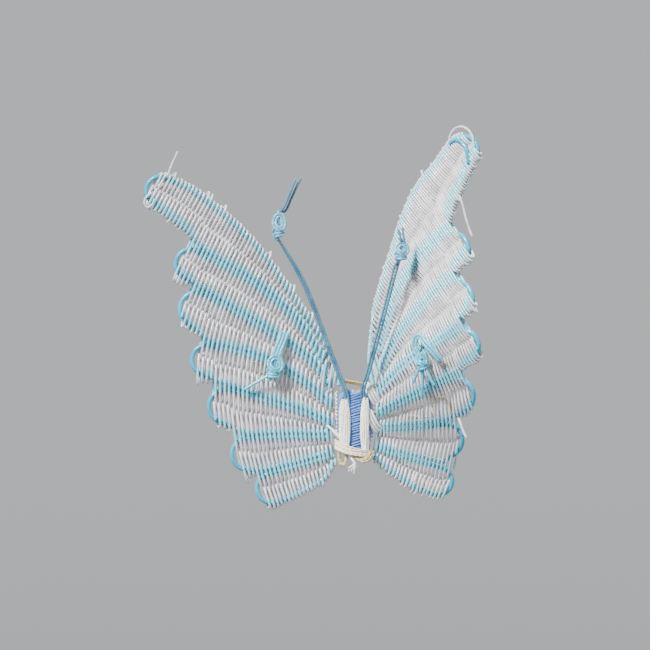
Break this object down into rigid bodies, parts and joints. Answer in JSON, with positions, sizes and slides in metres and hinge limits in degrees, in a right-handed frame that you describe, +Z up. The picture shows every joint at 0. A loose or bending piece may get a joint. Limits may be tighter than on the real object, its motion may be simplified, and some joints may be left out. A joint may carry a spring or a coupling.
{
  "type": "fairy wings",
  "caption": "Woven butterfly wings with scalloped cord edges on a thread-wound body with antennae, worn on a safety pin.",
  "frame": {"origin": "middle of the safety pin's fixed arm, behind the top of the body", "axes": "+Z up along the body as worn, +X to the viewer's right, -Y out of the front, +Y towards the garment"},
  "size_m": [0.0669, 0.0249, 0.0736],
  "materials": {
    "wing_cord": "glossy turquoise cord",
    "weaving_line": "translucent pale nylon line",
    "antenna_line": "translucent steel blue nylon line",
    "tie_line": "translucent light blue nylon line",
    "lacing_thread": "white sewing thread",
    "blue_thread": "periwinkle sewing thread",
    "cream_fibre": "soft cream fibre",
    "binding_fibre": "tan and cream fibre strands",
    "pin_brass": "polished brass wire"
  },
  "bodies": {
    "body": {"body_core": "cream_fibre", "thread_wrap": "blue_thread", "left_fibre_post": "cream_fibre", "right_fibre_post": "cream_fibre", "bottom_binding": "binding_fibre", "left_fibre_loop": "binding_fibre", "right_fibre_loop": "binding_fibre", "fibre_tuft": "cream_fibre", "left_root_lacing": "lacing_thread", "right_root_lacing": "lacing_thread", "left_pin_lashing": "lacing_thread", "right_pin_lashing": "lacing_thread", "pin_fixed_arm": "pin_brass", "pin_cap": "pin_brass"},
    "left_wing": {"left_frame_cord": "wing_cord", "left_weave_1": "weaving_line", "left_weave_2": "weaving_line", "left_weave_3": "weaving_line", "left_weave_4": "weaving_line", "left_weave_5": "weaving_line", "left_weave_6": "weaving_line", "left_weave_7": "weaving_line", "left_tip_line_end": "weaving_line", "left_tie_loop": "tie_line", "left_tie_knot": "tie_line", "left_tie_end": "tie_line"},
    "right_wing": {"right_frame_cord": "wing_cord", "right_weave_1": "weaving_line", "right_weave_2": "weaving_line", "right_weave_3": "weaving_line", "right_weave_4": "weaving_line", "right_weave_5": "weaving_line", "right_weave_6": "weaving_line", "right_weave_7": "weaving_line", "right_tip_line_end": "weaving_line", "right_side_line_end": "weaving_line", "right_tie_loop": "tie_line", "right_tie_knot": "tie_line", "right_tie_end_1": "tie_line", "right_tie_end_2": "tie_line", "right_tie_end_3": "tie_line"},
    "left_antenna": {"left_antenna_strand_1": "antenna_line", "left_antenna_strand_2": "antenna_line", "left_antenna_knot": "antenna_line", "left_antenna_tail_1": "antenna_line", "left_antenna_tail_2": "antenna_line"},
    "right_antenna": {"right_antenna_strand_1": "antenna_line", "right_antenna_strand_2": "antenna_line", "right_antenna_knot": "antenna_line", "right_antenna_tail_1": "antenna_line", "right_antenna_tail_2": "antenna_line"},
    "pin_needle": {"pin_needle": "pin_brass"}
  },
  "joints": [
    {"name": "left_wing_fold", "type": "hinge", "parent": "body", "child": "left_wing", "pos_m": [-0.0039, 0, -0.006], "axis": [0, 0, 1], "range_deg": [0, 35]},
    {"name": "right_wing_fold", "type": "hinge", "parent": "body", "child": "right_wing", "pos_m": [0.0039, 0, -0.006], "axis": [0, 0, -1], "range_deg": [-15, 8]},
    {"name": "left_antenna_bend", "type": "hinge", "parent": "body", "child": "left_antenna", "pos_m": [-0.0014, -0.00205, -0.0032], "axis": [1, 0, 0], "range_deg": [0, 20], "stiffness_Nm_per_rad": 0.0001},
    {"name": "right_antenna_bend", "type": "hinge", "parent": "body", "child": "right_antenna", "pos_m": [0.0017, -0.00205, -0.0032], "axis": [1, 0, 0], "range_deg": [0, 20], "stiffness_Nm_per_rad": 0.0001},
    {"name": "pin_needle_open", "type": "hinge", "parent": "body", "child": "pin_needle", "pos_m": [0.0169, 0.0038, -0.00724], "axis": [-0.1736, 0, -0.9848], "range_deg": [0, 40]}
  ]
}
